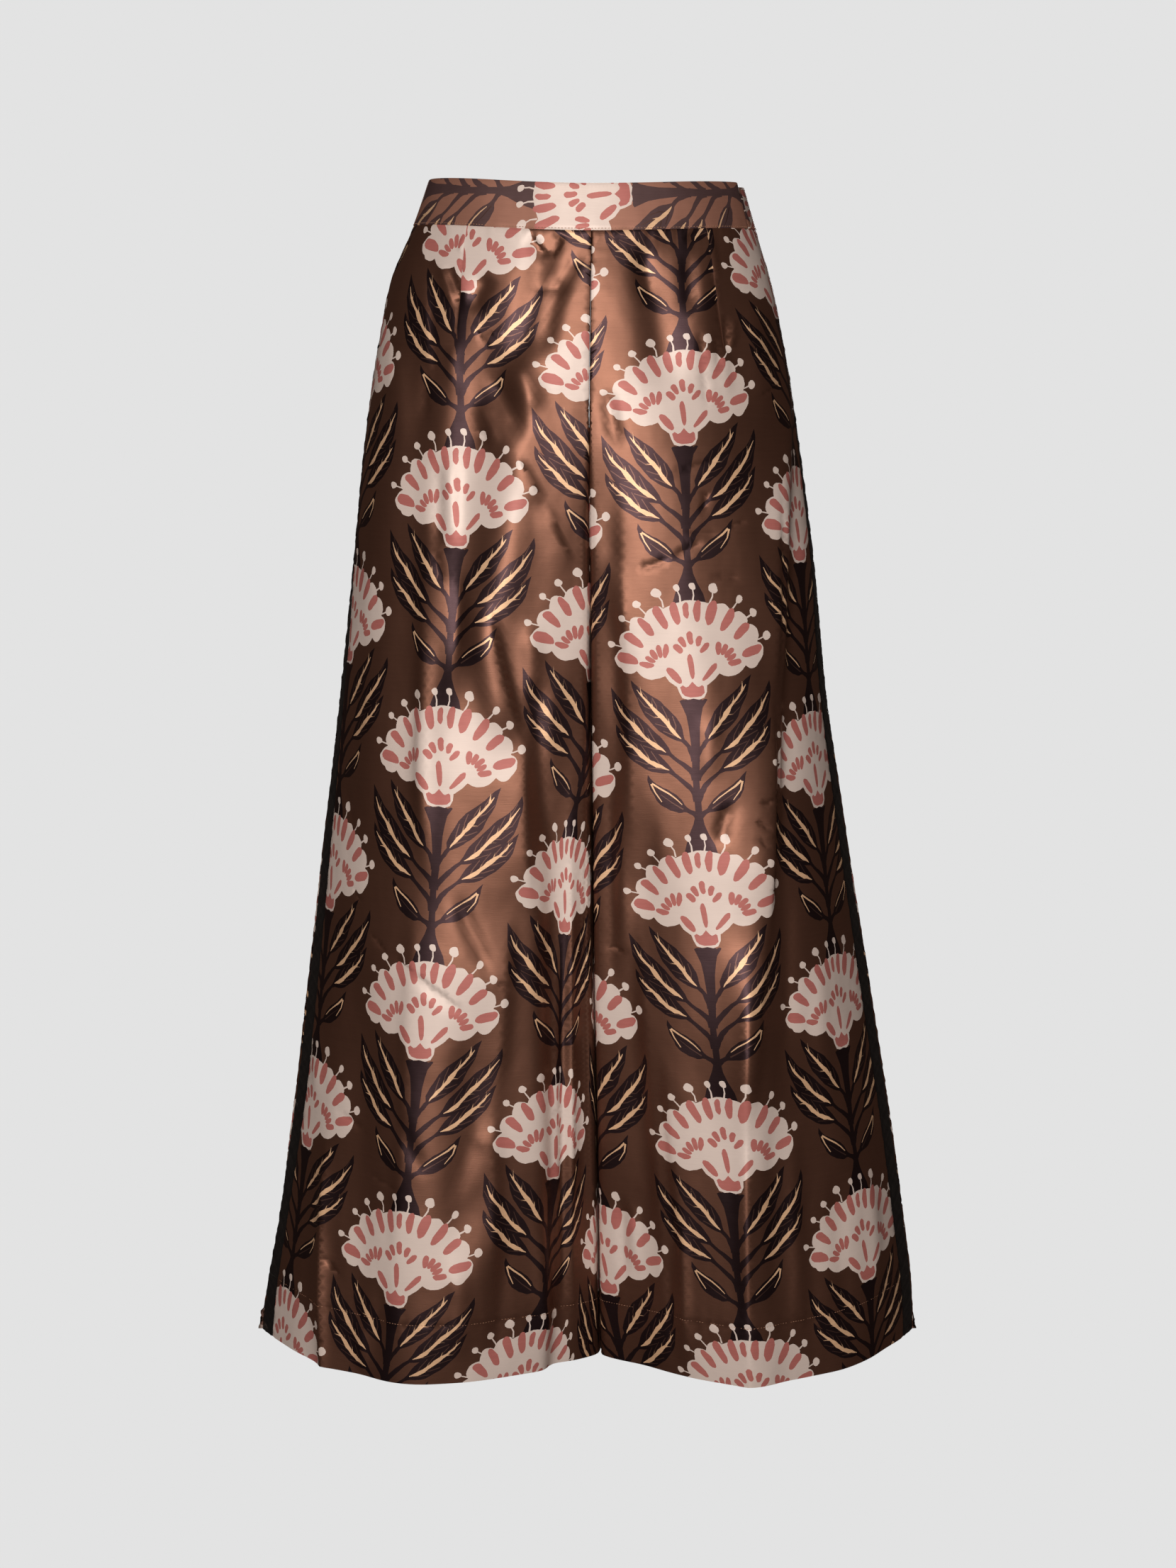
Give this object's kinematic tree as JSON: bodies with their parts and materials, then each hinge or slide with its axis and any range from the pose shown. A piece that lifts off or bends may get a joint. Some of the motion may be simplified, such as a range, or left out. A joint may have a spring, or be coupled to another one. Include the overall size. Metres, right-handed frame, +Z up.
{
  "type": "palazzo pants",
  "caption": "Wide-leg palazzo pants in printed satin with a flat waistband and black side stripes, filled out as worn, hollow and open at waist and hems.",
  "frame": {"origin": "centre of the waist, half way up the waistband", "axes": "+Z up towards the waist opening, -Y out of the front, +X to the wearer's left"},
  "size_m": [0.5857, 0.2745, 1.0099],
  "materials": {
    "printed_satin": "soft satin, brown ground with cream and coral flowers",
    "black_satin": "puckered black satin"
  },
  "bodies": {
    "root": {"waistband_front": "printed_satin", "waistband_back": "printed_satin", "front_right": "printed_satin", "front_left": "printed_satin", "back_right": "printed_satin", "back_left": "printed_satin", "side_stripe_right": "black_satin", "side_stripe_left": "black_satin"}
  },
  "joints": []
}
